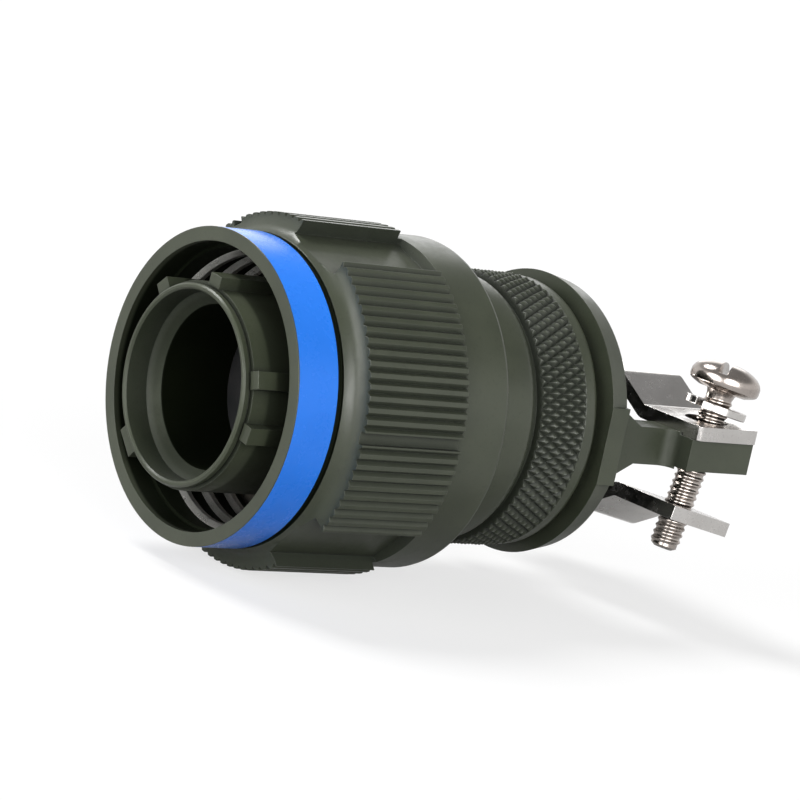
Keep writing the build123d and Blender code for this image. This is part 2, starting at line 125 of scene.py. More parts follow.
# Lock washers: they hang loose under the heads
LOCK_WASHER_DROP = 2.05
WASHER_INNER_R = 1.55
WASHER_OUTER_R = 3.05
WASHER_THICK = 0.78
WASHER_EDGE = 0.08
WASHER_LEAD = 0.16
WASHER_TURNS = 0.96
WASHER_STEPS = 56
WASHER_SPLIT = math.radians(200)

# Olive plate: its tones, with the colour of its painted shade, and how strongly painted shade and wear show
OLIVE = (0.056, 0.065, 0.041, 1)
OLIVE_SHADE = (0.045, 0.053, 0.033, 1)
OLIVE_PAINTED_SHADE = (0.0055, 0.0085, 0.003, 1)
OLIVE_WORN = (0.15, 0.162, 0.135, 1)
OLIVE_GLOSS = 0.31
OLIVE_TONES = (OLIVE, OLIVE_SHADE, OLIVE_WORN, OLIVE_GLOSS)

# Each bore has its radius and the place of its mouth in millimetres, and how strongly painted shade darkens
# its inside
RING_BORES = ((14.35, 0.3, 0.92),)
SHELL_BORES = ((7.75, 1.0, 0.95), (12.6, 0.4, 0.5))
EDGE_WEAR = 0.35
# Grip diamonds' tips are paler, partly from wear and partly as a painted highlight
TIP_WEAR_AND_HIGHLIGHT = 0.85
TIP_POLISH = 0.06
EDGE_METAL = 0.3
# Painted shade: how strongly it darkens grooves, bores and the grip diamonds' roots, and how much rougher it
# makes them
GROOVE_PAINTED_SHADE = 0.75
BORE_PAINTED_SHADE = 0.95
ROOT_PAINTED_SHADE = 0.9
PAINTED_SHADE_DULL = 0.35


# Working in edit mode

def deselect():
    """Leaves nothing selected, so that an operator acts on the new piece alone."""
    if bpy.context.object and bpy.context.object.mode == "EDIT":
        bpy.ops.object.mode_set(mode="OBJECT")
    bpy.ops.object.select_all(action="DESELECT")


def take_piece(piece):
    """Makes this piece the only one that an operator acts on."""
    deselect()
    bpy.context.view_layer.objects.active = piece
    piece.select_set(True)


def open_piece(piece):
    """Makes this the piece being worked on, in edit mode."""
    take_piece(piece)
    bpy.ops.object.mode_set(mode="EDIT")


def close_piece():
    bpy.ops.object.mode_set(mode="OBJECT")


def pick_points(piece, wanted):
    """Selects the points whose place passes the test."""
    bpy.ops.mesh.select_mode(type="VERT")
    bpy.ops.mesh.select_all(action="DESELECT")
    bpy.ops.object.mode_set(mode="OBJECT")
    for point in piece.data.vertices:
        point.select = wanted(point.co)
    bpy.ops.object.mode_set(mode="EDIT")


def merge_points(gap=0.002):
    bpy.ops.mesh.select_all(action="SELECT")
    bpy.ops.mesh.remove_doubles(threshold=gap * MM)


def face_outwards():
    bpy.ops.mesh.select_all(action="SELECT")
    bpy.ops.mesh.normals_make_consistent(inside=False)


def smooth(piece, angle):
    """Smooth shading, broken at edges sharper than this angle."""
    take_piece(piece)
    bpy.ops.object.shade_smooth_by_angle(angle=math.radians(angle))


def apply_modifier(piece, kind, name, **settings):
    """Adds one modifier with these settings and applies it."""
    take_piece(piece)
    modifier = piece.modifiers.new(name, kind)
    for setting, value in settings.items():
        setattr(modifier, setting, value)
    bpy.ops.object.modifier_apply(modifier=modifier.name)


def soften_edges(piece, width, segments, angle):
    """Takes the sharpness off every edge steeper than this angle."""
    apply_modifier(piece, "BEVEL", "soft_edges", width=width * MM, segments=segments,
                   limit_method="ANGLE", angle_limit=math.radians(angle), use_clamp_overlap=True)


def put_in_place(piece, place):
    """Moves a piece's mesh to its place, and leaves its object at the origin."""
    take_piece(piece)
    piece.matrix_world = place
    bpy.ops.object.transform_apply(location=True, rotation=True, scale=True)


def copy_of(piece, name):
    """A copy with a mesh of its own."""
    twin = piece.copy()
    twin.data = piece.data.copy()
    twin.name = name
    twin.data.name = name
    bpy.context.scene.collection.objects.link(twin)
    return twin


def join_pieces(pieces, name):
    deselect()
    for piece in pieces:
        piece.select_set(True)
    bpy.context.view_layer.objects.active = pieces[0]
    bpy.ops.object.join()
    pieces[0].name = name
    pieces[0].data.name = name
    return pieces[0]


def finished(piece, body, material, stands_for=()):
    """Gives a finished piece its body, its finish and the nodes that it stands for."""
    piece.data.materials.clear()
    piece.data.materials.append(material)
    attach(piece, body)
    if stands_for:
        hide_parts(*stands_for)


def one_point(name, place):
    """A new mesh of a single point, at this place in millimetres."""
    deselect()
    bpy.ops.mesh.primitive_plane_add(size=MM, location=(0, 0, 0))
    piece = bpy.context.object
    piece.name = name
    piece.data.name = name
    bpy.ops.object.mode_set(mode="EDIT")
    bpy.ops.mesh.select_mode(type="VERT")
    bpy.ops.mesh.select_all(action="SELECT")
    bpy.ops.mesh.merge(type="CENTER")
    bpy.ops.transform.translate(value=Vector(place) * MM)
    return piece


def draw_line(corners):
    """Extrudes the selected point from corner to corner."""
    for before, after in zip(corners, corners[1:]):
        step = (Vector(after) - Vector(before)) * MM
        bpy.ops.mesh.extrude_region_move(TRANSFORM_OT_translate={"value": step})


def turned(name, section, steps, along="X"):
    """A turned piece. Its section is drawn as (place along the axis, radius) corners, and spun round."""
    if along == "X":
        corners = [(place, 0, radius) for place, radius in section]
        axis = (1, 0, 0)
    else:
        corners = [(radius, 0, place) for place, radius in section]
        axis = (0, 0, 1)
    piece = one_point(name, corners[0])
    draw_line(corners)
    bpy.ops.mesh.select_all(action="SELECT")
    bpy.ops.mesh.spin(steps=steps, angle=2 * math.pi, center=(0, 0, 0), axis=axis)
    merge_points()
    bpy.ops.mesh.select_all(action="SELECT")
    bpy.ops.mesh.delete_loose()
    face_outwards()
    close_piece()
    return piece


def wound(name, section, lead, turns, steps_per_turn, along="X"):
    """A helix. Its section is drawn closed as (place along the axis, radius) corners, and screwed round."""
    if along == "X":
        corners = [(place, 0, radius) for place, radius in section]
    else:
        corners = [(radius, 0, place) for place, radius in section]
    piece = one_point(name, corners[0])
    draw_line(corners + corners[:1])
    merge_points()
    close_piece()
    steps = round(turns * steps_per_turn)
    apply_modifier(piece, "SCREW", "helix", axis=along, angle=2 * math.pi * turns,
                   screw_offset=lead * turns * MM, steps=steps, render_steps=steps,
                   use_smooth_shade=True)
    open_piece(piece)
    bpy.ops.mesh.select_mode(type="EDGE")
    bpy.ops.mesh.select_all(action="DESELECT")
    bpy.ops.mesh.select_non_manifold(extend=False, use_wire=False, use_multi_face=False,
                                     use_non_contiguous=False, use_verts=False)
    bpy.ops.mesh.edge_face_add()
    face_outwards()
    close_piece()
    return piece


# Shader groups

def new_group(name, inputs, outputs):
    """An empty shader group with these sockets, and its two end nodes."""
    group = bpy.data.node_groups.new(name, "ShaderNodeTree")
    for socket, kind, value in inputs:
        made = group.interface.new_socket(name=socket, in_out="INPUT", socket_type=kind)
        if value is not None:
            made.default_value = value
    for socket, kind in outputs:
        group.interface.new_socket(name=socket, in_out="OUTPUT", socket_type=kind)
    return group, group.nodes.new("NodeGroupInput"), group.nodes.new("NodeGroupOutput")


def add_node(tree, kind, links=None, **settings):
    """Adds a node, sets it, and links or fills the inputs named in links."""
    node = tree.nodes.new(kind)
    for setting, value in settings.items():
        setattr(node, setting, value)
    for socket, value in (links or {}).items():
        if isinstance(value, bpy.types.NodeSocket):
            tree.links.new(value, node.inputs[socket])
        else:
            node.inputs[socket].default_value = value
    return node


def noise(tree, where, scale, detail=3.0, roughness=0.55):
    return add_node(tree, "ShaderNodeTexNoise", {"Vector": where, "Scale": scale, "Detail": detail,
                                                 "Roughness": roughness}).outputs["Fac"]


def spread(tree, value, low, high, out_low=0.0, out_high=1.0):
    """Maps a value's range to another, smoothly and with its ends held."""
    return add_node(tree, "ShaderNodeMapRange", {"Value": value, "From Min": low, "From Max": high,
                                                 "To Min": out_low, "To Max": out_high},
                    interpolation_type="SMOOTHSTEP").outputs["Result"]


def blend_colours(tree, mask, first, second):
    mix = add_node(tree, "ShaderNodeMix", {0: mask}, data_type="RGBA", blend_type="MIX")
    for socket, value in ((6, first), (7, second)):
        if isinstance(value, bpy.types.NodeSocket):
            tree.links.new(value, mix.inputs[socket])
        else:
            mix.inputs[socket].default_value = value
    return mix.outputs[2]


def maths(tree, operation, *values):
    node = add_node(tree, "ShaderNodeMath", dict(enumerate(values)), operation=operation)
    return node.outputs[0]


def axis_radius(tree, place):
    """A place's distance from the plug's axis."""
    return maths(tree, "SQRT", maths(tree, "ADD", maths(tree, "POWER", place.outputs["Y"], 2.0),
                                     maths(tree, "POWER", place.outputs["Z"], 2.0)))


def make_worn_edges():
    """Where a piece's outer edges are rubbed, with the edges' softened normal."""
    group, start, end = new_group(
        "worn_edges",
        [("Radius", "NodeSocketFloat", 0.0001), ("Patchiness", "NodeSocketFloat", 0.5)],
        [("Mask", "NodeSocketFloat"), ("Normal", "NodeSocketVector")])
    where = add_node(group, "ShaderNodeTexCoord").outputs["Object"]
    rounded = add_node(group, "ShaderNodeBevel", {"Radius": start.outputs["Radius"]}, samples=6)
    plain = add_node(group, "ShaderNodeNewGeometry").outputs["Normal"]
    same = add_node(group, "ShaderNodeVectorMath", {0: rounded.outputs["Normal"], 1: plain},
                    operation="DOT_PRODUCT").outputs["Value"]
    edge = spread(group, same, 0.995, 0.90)
    patches = noise(group, where, 900.0, 4.0, 0.65)
    kept = maths(group, "SUBTRACT", 1.0, start.outputs["Patchiness"])
    rubbed = spread(group, maths(group, "ADD", patches, maths(group, "MULTIPLY", kept, 0.35)), 0.50, 0.72)
    group.links.new(maths(group, "MULTIPLY", edge, rubbed), end.inputs["Mask"])
    group.links.new(rounded.outputs["Normal"], end.inputs["Normal"])
    return group


def make_mottle():
    """Slow cloudy variation and fine specks over a surface."""
    group, start, end = new_group(
        "mottle", [("Scale", "NodeSocketFloat", 1.0)],
        [("Clouds", "NodeSocketFloat"), ("Specks", "NodeSocketFloat"), ("Handling", "NodeSocketFloat")])
    where = add_node(group, "ShaderNodeTexCoord").outputs["Object"]
    sized = add_node(group, "ShaderNodeVectorMath", {0: where, "Scale": start.outputs["Scale"]},
                     operation="SCALE").outputs[0]
    group.links.new(spread(group, noise(group, sized, 160.0, 4.0), 0.35, 0.65), end.inputs["Clouds"])
    group.links.new(spread(group, noise(group, sized, 2600.0, 2.0), 0.58, 0.74), end.inputs["Specks"])
    group.links.new(spread(group, noise(group, sized, 420.0, 5.0, 0.7), 0.40, 0.70), end.inputs["Handling"])
    return group


def make_fine_grain():
    """The blasted or plated skin of a part, as a height."""
    group, start, end = new_group(
        "fine_grain", [("Size", "NodeSocketFloat", 0.08)], [("Height", "NodeSocketFloat")])
    where = add_node(group, "ShaderNodeTexCoord").outputs["Object"]
    per_metre = maths(group, "DIVIDE", 1.0 / MM, start.outputs["Size"])
    grain = noise(group, where, per_metre, 3.0, 0.6)
    waves = noise(group, where, 700.0, 2.0)
    group.links.new(maths(group, "ADD", grain, maths(group, "MULTIPLY", waves, 0.6)), end.inputs["Height"])
    return group


def make_turning_marks():
    """Fine rings left by the lathe round the plug's axis, as a height."""
    group, start, end = new_group(
        "turning_marks", [("Pitch", "NodeSocketFloat", 0.05)], [("Height", "NodeSocketFloat")])
    where = add_node(group, "ShaderNodeTexCoord").outputs["Object"]
    stretched = add_node(group, "ShaderNodeVectorMath", {0: where, 1: (1.0, 0.03, 0.03)},
                         operation="MULTIPLY").outputs[0]
    per_metre = maths(group, "DIVIDE", 1.0 / MM, start.outputs["Pitch"])
    group.links.new(noise(group, stretched, per_metre, 2.0), end.inputs["Height"])
    return group


def make_hollows():
    """How deep a place lies in its own piece's grooves and bores, where painted shade darkens the colour."""
    group, start, end = new_group(
        "hollows", [("Groove Reach", "NodeSocketFloat", 0.0006), ("Bore Reach", "NodeSocketFloat", 0.021)],
        [("Groove", "NodeSocketFloat"), ("Bore", "NodeSocketFloat")])
    for name, open_from, open_to in (("Groove", 0.58, 1.0), ("Bore", 0.45, 0.95)):
        reach = add_node(group, "ShaderNodeAmbientOcclusion", {"Distance": start.outputs[name + " Reach"]},
                         samples=4, only_local=True)
        deep = spread(group, reach.outputs["AO"], open_from, open_to, 1.0, 0.0)
        group.links.new(deep, end.inputs[name])
    return group


def make_grip_relief():
    """How deep a place lies among the diamonds of the nut's grip band, and how near to their tips."""
    group, start, end = new_group(
        "grip_relief", [("Root Radius", "NodeSocketFloat", KNURL_ROOT_R * MM),
                        ("Tip Radius", "NodeSocketFloat", KNURL_TOP_R * MM)],
        [("Root", "NodeSocketFloat"), ("Tip", "NodeSocketFloat")])
    where = add_node(group, "ShaderNodeTexCoord").outputs["Object"]
    place = add_node(group, "ShaderNodeSeparateXYZ", {0: where})
    radius = axis_radius(group, place)
    height = maths(group, "DIVIDE", maths(group, "SUBTRACT", radius, start.outputs["Root Radius"]),
                   maths(group, "SUBTRACT", start.outputs["Tip Radius"], start.outputs["Root Radius"]))
    front, back = KNURL_X
    behind = spread(group, place.outputs["X"], (front - 0.1) * MM, (front + 0.05) * MM)
    ahead = spread(group, place.outputs["X"], (back - 0.02) * MM, (back + 0.1) * MM, 1.0, 0.0)
    inside = maths(group, "MULTIPLY", behind, ahead)
    root = spread(group, height, 0.15, 0.85, 1.0, 0.0)
    tip = spread(group, height, 0.62, 0.92)
    group.links.new(maths(group, "MULTIPLY", inside, root), end.inputs["Root"])
    group.links.new(maths(group, "MULTIPLY", inside, tip), end.inputs["Tip"])
    return group


def make_bore_shade():
    """Whether a place lies inside a bore of this radius, behind its mouth, where painted shade darkens the
    plate.
    """
    group, start, end = new_group(
        "bore_shade", [("Radius", "NodeSocketFloat", 0.0132), ("Mouth", "NodeSocketFloat", 0.0003)],
        [("Inside", "NodeSocketFloat")])
    where = add_node(group, "ShaderNodeTexCoord").outputs["Object"]
    place = add_node(group, "ShaderNodeSeparateXYZ", {0: where})
    radius = axis_radius(group, place)
    depth = maths(group, "DIVIDE", maths(group, "SUBTRACT", place.outputs["X"], start.outputs["Mouth"]), MM)
    gap = maths(group, "DIVIDE", maths(group, "SUBTRACT", start.outputs["Radius"], radius), MM)
    inside = maths(group, "MULTIPLY", spread(group, depth, 0.0, 0.5), spread(group, gap, 0.0, 0.1))
    group.links.new(inside, end.inputs["Inside"])
    return group


worn_edges = make_worn_edges()
hollows = make_hollows()
grip_relief = make_grip_relief()
bore_shade = make_bore_shade()
mottle = make_mottle()
fine_grain = make_fine_grain()
turning_marks = make_turning_marks()


def use_group(tree, group, **values):
    node = tree.nodes.new("ShaderNodeGroup")
    node.node_tree = group
    for socket, value in values.items():
        node.inputs[socket].default_value = value
    return node


def new_material(name, **constants):
    """A material with its shader, whose plain values are set on its own sockets."""
    material = bpy.data.materials.new(name)
    material.use_nodes = True
    shader = material.node_tree.nodes["Principled BSDF"]
    for socket, value in constants.items():
        shader.inputs[socket.replace("_", " ")].default_value = value
    return material, material.node_tree, shader


def add_relief(tree, shader, height, distance, rounded):
    """Joins a height and the rounded edges' normal to the shader."""
    bump = add_node(tree, "ShaderNodeBump", {"Height": height, "Distance": distance * MM,
                                             "Strength": 1.0, "Normal": rounded})
    tree.links.new(bump.outputs["Normal"], shader.inputs["Normal"])


def add_handling(tree, shader, clouds, share, gloss):
    """Roughness of a finish: its own, and more where it was handled."""
    handled = maths(tree, "MULTIPLY", clouds.outputs["Handling"], share)
    tree.links.new(maths(tree, "ADD", handled, gloss), shader.inputs["Roughness"])


def darker(colour, share):
    return tuple(share * part for part in colour[:3]) + (1,)


def olive_plate_material(name, base, shade, worn, gloss, wear=0.5, metal=0.05, grip=False, bores=(),
                         specular=0.6):
    """Olive drab plate: satin, slightly cloudy, rubbed paler on its edges, and darkened with painted shade in
    its grooves and bores.

    A bore's painted shade also raises Metallic, which takes the lamps' sheen off the wall.
    """
    material, tree, shader = new_material(name, Specular_IOR_Level=specular)
    edges = use_group(tree, worn_edges, Radius=0.09 * MM, Patchiness=wear)
    clouds = use_group(tree, mottle, Scale=1.0)
    skin = use_group(tree, fine_grain, Size=0.09)
    rings = use_group(tree, turning_marks, Pitch=0.06)
    colour = blend_colours(tree, clouds.outputs["Clouds"], base, shade)
    colour = blend_colours(tree, maths(tree, "MULTIPLY", clouds.outputs["Specks"], 0.35), colour,
                           darker(base, 0.45))
    colour = blend_colours(tree, maths(tree, "MULTIPLY", edges.outputs["Mask"], EDGE_WEAR), colour, worn)
    # Painted shade: the colour darkens deep in the piece's own grooves and bores
    depth = use_group(tree, hollows)
    painted_shade = maths(tree, "MAXIMUM", maths(tree, "MULTIPLY", depth.outputs["Groove"], GROOVE_PAINTED_SHADE),
                  maths(tree, "MULTIPLY", depth.outputs["Bore"], BORE_PAINTED_SHADE))
    handled = maths(tree, "MULTIPLY", clouds.outputs["Handling"], 0.10)
    # Grip band: painted shade darkens the diamonds' roots, and their tips are paler, partly from wear and
    # partly as a painted highlight
    if grip:
        diamonds = use_group(tree, grip_relief)
        root, tip = diamonds.outputs["Root"], diamonds.outputs["Tip"]
        colour = blend_colours(tree, maths(tree, "MULTIPLY", tip, TIP_WEAR_AND_HIGHLIGHT), colour, worn)
        painted_shade = maths(tree, "MAXIMUM", painted_shade, maths(tree, "MULTIPLY", root, ROOT_PAINTED_SHADE))
        handled = maths(tree, "SUBTRACT", handled, maths(tree, "MULTIPLY", tip, TIP_POLISH))
    metallic = maths(tree, "ADD", maths(tree, "MULTIPLY", edges.outputs["Mask"], EDGE_METAL), metal)
    # Painted shade inside each bore, by radius and depth behind its mouth; it also raises Metallic
    for radius, mouth, share in bores:
        shaded = use_group(tree, bore_shade, Radius=radius * MM, Mouth=mouth * MM)
        dark = maths(tree, "MULTIPLY", shaded.outputs["Inside"], share)
        painted_shade = maths(tree, "MAXIMUM", painted_shade, dark)
        metallic = maths(tree, "MAXIMUM", metallic, dark)
    colour = blend_colours(tree, painted_shade, colour, OLIVE_PAINTED_SHADE)
    tree.links.new(colour, shader.inputs["Base Color"])
    dull = maths(tree, "MULTIPLY", painted_shade, PAINTED_SHADE_DULL)
    tree.links.new(maths(tree, "ADD", maths(tree, "ADD", handled, dull), gloss), shader.inputs["Roughness"])
    tree.links.new(metallic, shader.inputs["Metallic"])
    height = maths(tree, "ADD", skin.outputs["Height"], maths(tree, "MULTIPLY", rings.outputs["Height"], 0.5))
    add_relief(tree, shader, height, 0.004, edges.outputs["Normal"])
    return material


def band_material():
    """Blue enamel, glossy and even, with a little depth in its colour."""
    material, tree, shader = new_material("blue_band", Specular_IOR_Level=0.45)
    edges = use_group(tree, worn_edges, Radius=0.05 * MM, Patchiness=0.8)
    clouds = use_group(tree, mottle, Scale=1.4)
    skin = use_group(tree, fine_grain, Size=0.3)
    colour = blend_colours(tree, clouds.outputs["Clouds"], (0.020, 0.215, 0.91, 1), (0.022, 0.226, 0.95, 1))
    colour = blend_colours(tree, maths(tree, "MULTIPLY", edges.outputs["Mask"], 0.4), colour,
                           (0.05, 0.25, 0.88, 1))
    tree.links.new(colour, shader.inputs["Base Color"])
    add_handling(tree, shader, clouds, 0.03, 0.26)
    add_relief(tree, shader, skin.outputs["Height"], 0.0015, edges.outputs["Normal"])
    return material


def steel_material(name, base, shade, gloss, edge_tone):
    """Passivated or nickel plated steel, with faint handling marks."""
    material, tree, shader = new_material(name)
    edges = use_group(tree, worn_edges, Radius=0.07 * MM, Patchiness=0.35)
    clouds = use_group(tree, mottle, Scale=1.6)
    skin = use_group(tree, fine_grain, Size=0.12)
    colour = blend_colours(tree, clouds.outputs["Clouds"], base, shade)
    colour = blend_colours(tree, maths(tree, "MULTIPLY", clouds.outputs["Specks"], 0.15), colour,
                           darker(base, 0.55))
    colour = blend_colours(tree, maths(tree, "MULTIPLY", edges.outputs["Mask"], 0.5), colour, edge_tone)
    tree.links.new(colour, shader.inputs["Base Color"])
    add_handling(tree, shader, clouds, 0.14, gloss)
    tree.links.new(maths(tree, "SUBTRACT", 1.0, maths(tree, "MULTIPLY", clouds.outputs["Specks"], 0.08)),
                   shader.inputs["Metallic"])
    add_relief(tree, shader, skin.outputs["Height"], 0.003, edges.outputs["Normal"])
    return material


def rubber_material():
    """Grey silicone rubber of the seals and the grommet."""
    material, tree, shader = new_material("seal_rubber", IOR=1.42)
    edges = use_group(tree, worn_edges, Radius=0.15 * MM, Patchiness=0.9)
    clouds = use_group(tree, mottle, Scale=0.8)
    skin = use_group(tree, fine_grain, Size=0.2)
    colour = blend_colours(tree, clouds.outputs["Clouds"], (0.010, 0.011, 0.012, 1), (0.016, 0.016, 0.017, 1))
    colour = blend_colours(tree, maths(tree, "MULTIPLY", clouds.outputs["Handling"], 0.3), colour,
                           (0.035, 0.033, 0.031, 1))
    tree.links.new(colour, shader.inputs["Base Color"])
    add_handling(tree, shader, clouds, 0.2, 0.6)
    add_relief(tree, shader, skin.outputs["Height"], 0.01, edges.outputs["Normal"])
    return material


def plastic_material():
    """Dark moulded plastic of the insulator."""
    material, tree, shader = new_material("insert_plastic", IOR=1.5)
    edges = use_group(tree, worn_edges, Radius=0.08 * MM, Patchiness=0.8)
    clouds = use_group(tree, mottle, Scale=1.2)
    skin = use_group(tree, fine_grain, Size=0.15)
    colour = blend_colours(tree, clouds.outputs["Clouds"], (0.012, 0.017, 0.013, 1), (0.018, 0.024, 0.019, 1))
    colour = blend_colours(tree, edges.outputs["Mask"], colour, (0.03, 0.035, 0.03, 1))
    tree.links.new(colour, shader.inputs["Base Color"])
    add_handling(tree, shader, clouds, 0.15, 0.38)
    add_relief(tree, shader, skin.outputs["Height"], 0.004, edges.outputs["Normal"])
    return material


olive_plate = olive_plate_material("olive_plate", *OLIVE_TONES)
knurled_plate = olive_plate_material("knurled_plate", *OLIVE_TONES, grip=True)
ring_plate = olive_plate_material("ring_plate", *OLIVE_TONES, bores=RING_BORES)
shell_plate = olive_plate_material("shell_plate", *OLIVE_TONES, bores=SHELL_BORES, specular=0.45)
rubbed_thread = olive_plate_material("rubbed_thread", (0.60, 0.59, 0.56, 1), (0.42, 0.42, 0.39, 1),
                                     (0.74, 0.73, 0.70, 1), 0.27, 0.1, 0.80)
blue_band = band_material()
bright_steel = steel_material("bright_steel", (0.67, 0.65, 0.63, 1), (0.60, 0.58, 0.56, 1), 0.17,
                              (0.80, 0.78, 0.76, 1))
screw_steel = steel_material("screw_steel", (0.48, 0.43, 0.395, 1), (0.38, 0.34, 0.31, 1), 0.17,
                             (0.66, 0.62, 0.58, 1))
spring_steel = steel_material("spring_steel", (0.34, 0.32, 0.29, 1), (0.27, 0.25, 0.22, 1), 0.26,
                              (0.55, 0.53, 0.50, 1))
gold_plate = steel_material("gold_plate", (0.85, 0.60, 0.22, 1), (0.74, 0.50, 0.17, 1), 0.20,
                            (0.95, 0.72, 0.33, 1))
seal_rubber = rubber_material()
insert_plastic = plastic_material()

NODE_FINISHES = {
    "plug_shell": shell_plate, "backshell_body": olive_plate,
    "colour_band": blue_band, "upper_saddle": bright_steel, "lower_saddle": bright_steel,
    "ring_retainer": spring_steel, "ratchet_ring": spring_steel, "detent_spring": spring_steel,
    "spring_washer": spring_steel, "ground_spring": spring_steel, "nut_retainer": spring_steel,
    "barrel_seal": seal_rubber, "face_seal": seal_rubber, "grommet": seal_rubber,
    "backshell_seal": seal_rubber, "insulator": insert_plastic, "contacts": gold_plate,
}


def finish_nodes():
    """Gives each CAD node that stays its own finish."""
    for name, material in NODE_FINISHES.items():
        for place in nodes[name].material_slots:
            place.link = "OBJECT"
            place.material = material


def make_grip_ring():
    """The coupling ring, from a merged copy of its solid, with its round surfaces shaded smooth."""
    ring = bpy.data.objects.new("grip_ring", nodes["coupling_ring"].data.copy())
    ring.data.name = "grip_ring"
    bpy.context.scene.collection.objects.link(ring)
    take_piece(ring)
    bpy.ops.mesh.customdata_custom_splitnormals_clear()
    open_piece(ring)
    merge_points(0.001)
    close_piece()
    smooth(ring, 31)
    apply_modifier(ring, "WEIGHTED_NORMAL", "even_shading", mode="FACE_AREA", weight=100, keep_sharp=True)
    finished(ring, "ring", ring_plate, ["coupling_ring"])


def make_coupling_thread():
    """The ring's inside thread, a ridge for each start."""
    front, back = COUPLING_THREAD_X
    width = 2 * COUPLING_HALF_ROOT
    sunk_r = COUPLING_THREAD_R + 0.1
    foot_r = COUPLING_THREAD_R - 0.02
    section = [(front, sunk_r), (front, foot_r),
               (front + COUPLING_HALF_ROOT - COUPLING_HALF_CREST, COUPLING_CREST_R),
               (front + COUPLING_HALF_ROOT + COUPLING_HALF_CREST, COUPLING_CREST_R),
               (front + width, foot_r), (front + width, sunk_r)]
    turns = (back - front - width) / COUPLING_LEAD
    ridge = wound("coupling_thread_1", section, COUPLING_LEAD, turns, COUPLING_STEPS)
    ridges = [ridge]
    for start in range(1, COUPLING_STARTS):
        twin = copy_of(ridge, "coupling_thread_%d" % (start + 1))
        put_in_place(twin, Matrix.Rotation(2 * math.pi * start / COUPLING_STARTS, 4, "X"))
        ridges.append(twin)
    thread = join_pieces(ridges, "coupling_thread")
    smooth(thread, 30)
    finished(thread, "ring", rubbed_thread)


def make_knurl_patch():
    """One pitch of the grip band: a lattice whose every other point is pushed out."""
    front, back = KNURL_X
    half = math.pi / KNURL_COUNT
    row_gap = (back - front - 2 * KNURL_RUNOUT) / KNURL_ROWS
    deselect()
    bpy.ops.mesh.primitive_grid_add(x_subdivisions=KNURL_ROWS, y_subdivisions=2, size=2)
    patch = bpy.context.object
    wide = KNURL_ROOT_R * math.sin(half) * MM
    long = row_gap * KNURL_ROWS / 2 * MM
    flat_r = KNURL_ROOT_R * math.cos(half) * MM
    put_in_place(patch, Matrix.Translation(((front + back) / 2 * MM, 0, flat_r))
                 @ Matrix.Diagonal((long, wide, 1, 1)))
    open_piece(patch)
    pick_points(patch, lambda co: abs(co.y) < wide / 4)
    bpy.ops.transform.resize(value=(1, 1 / math.cos(half), 1 / math.cos(half)), center_override=(0, 0, 0))

    def lattice_sum(co):
        row = round((co.x / MM - front - KNURL_RUNOUT) / row_gap)
        return row + (0 if abs(co.y) < wide / 4 else 1)

    pick_points(patch, lambda co: lattice_sum(co) % 2 == 0)
    bpy.ops.mesh.vert_connect()
    pick_points(patch, lambda co: lattice_sum(co) % 2 == 1)
    push = KNURL_TOP_R / KNURL_ROOT_R
    bpy.ops.transform.resize(value=(1, push, push), center_override=(0, 0, 0))
    halfway = (KNURL_ROOT_R + KNURL_TOP_R) / 2 * MM
    for end, way in ((front, 1), (back, -1)):
        inner = (end + way * KNURL_RUNOUT) * MM
        pick_points(patch, lambda co: abs(co.x - inner) < 0.01 * MM)
        outwards = (-way * KNURL_RUNOUT * MM, 0, 0)
        bpy.ops.mesh.extrude_region_move(TRANSFORM_OT_translate={"value": outwards})
        pick_points(patch, lambda co: abs(co.x - end * MM) < 0.01 * MM and math.hypot(co.y, co.z) > halfway)
        bpy.ops.transform.resize(value=(1, 1 / push, 1 / push), center_override=(0, 0, 0))
    close_piece()
    return patch


def make_knurled_nut():
    """The backshell nut: its knurl is one patch copied round, and the rest is turned from its edges."""
    patch = make_knurl_patch()
    patches = [patch]
    for place in range(1, KNURL_COUNT):
        twin = copy_of(patch, "knurl_%d" % place)
        put_in_place(twin, Matrix.Rotation(2 * math.pi * place / KNURL_COUNT, 4, "X"))
        patches.append(twin)
    knurl = join_pieces(patches, "knurled_nut")
    open_piece(knurl)
    merge_points()
    face_outwards()
    high = (KNURL_TOP_R - 0.03) * MM
    pick_points(knurl, lambda co: math.hypot(co.y, co.z) > high)
    bpy.ops.mesh.bevel(offset=KNURL_TIP_BEVEL * MM, affect="VERTICES", segments=2, profile=0.5)
    close_piece()
    smooth(knurl, 78)
    front, back = KNURL_X
    section = [
        (back, KNURL_ROOT_R), (back + 0.02, 12.72), (back + 0.1, NUT_COLLAR_R), (35.9, NUT_COLLAR_R),
        (36.15, 12.77), (36.38, 12.68), (36.54, 12.52), (NUT_REAR_X, 12.3), (NUT_REAR_X, 10.85),
        (36.5, NUT_REAR_BORE_R), (34.9, NUT_REAR_BORE_R), (34.9, NUT_RETAINER_R), (32.25, NUT_RETAINER_R),
        (32.25, NUT_THREAD_R), (24.1, NUT_THREAD_R), (NUT_FRONT_X, 11.25), (NUT_FRONT_X, 12.45),
        (23.96, 12.59), (24.1, NUT_SKIRT_R), (28.2, NUT_SKIRT_R), (28.5, 12.62), (28.75, 12.54),
        (28.93, 12.40), (29.02, 12.2), (29.05, NUT_GROOVE_R), (front, NUT_GROOVE_R), (front, KNURL_ROOT_R),
    ]
    body = turned("nut_body", section, 2 * KNURL_COUNT)
    smooth(body, 30)
    nut = join_pieces([knurl, body], "knurled_nut")
    open_piece(nut)
    merge_points(0.004)
    face_outwards()
    close_piece()
    finished(nut, "nut", knurled_plate, ["backshell_nut"])


def screw_place(side):
    """Where a clamp screw's own upright axis stands."""
    return (Matrix.Translation((SCREW_X * MM, side * SCREW_SIDE * MM, 0))
            @ Matrix.Rotation(SCREW_LEAN, 4, "Y"))


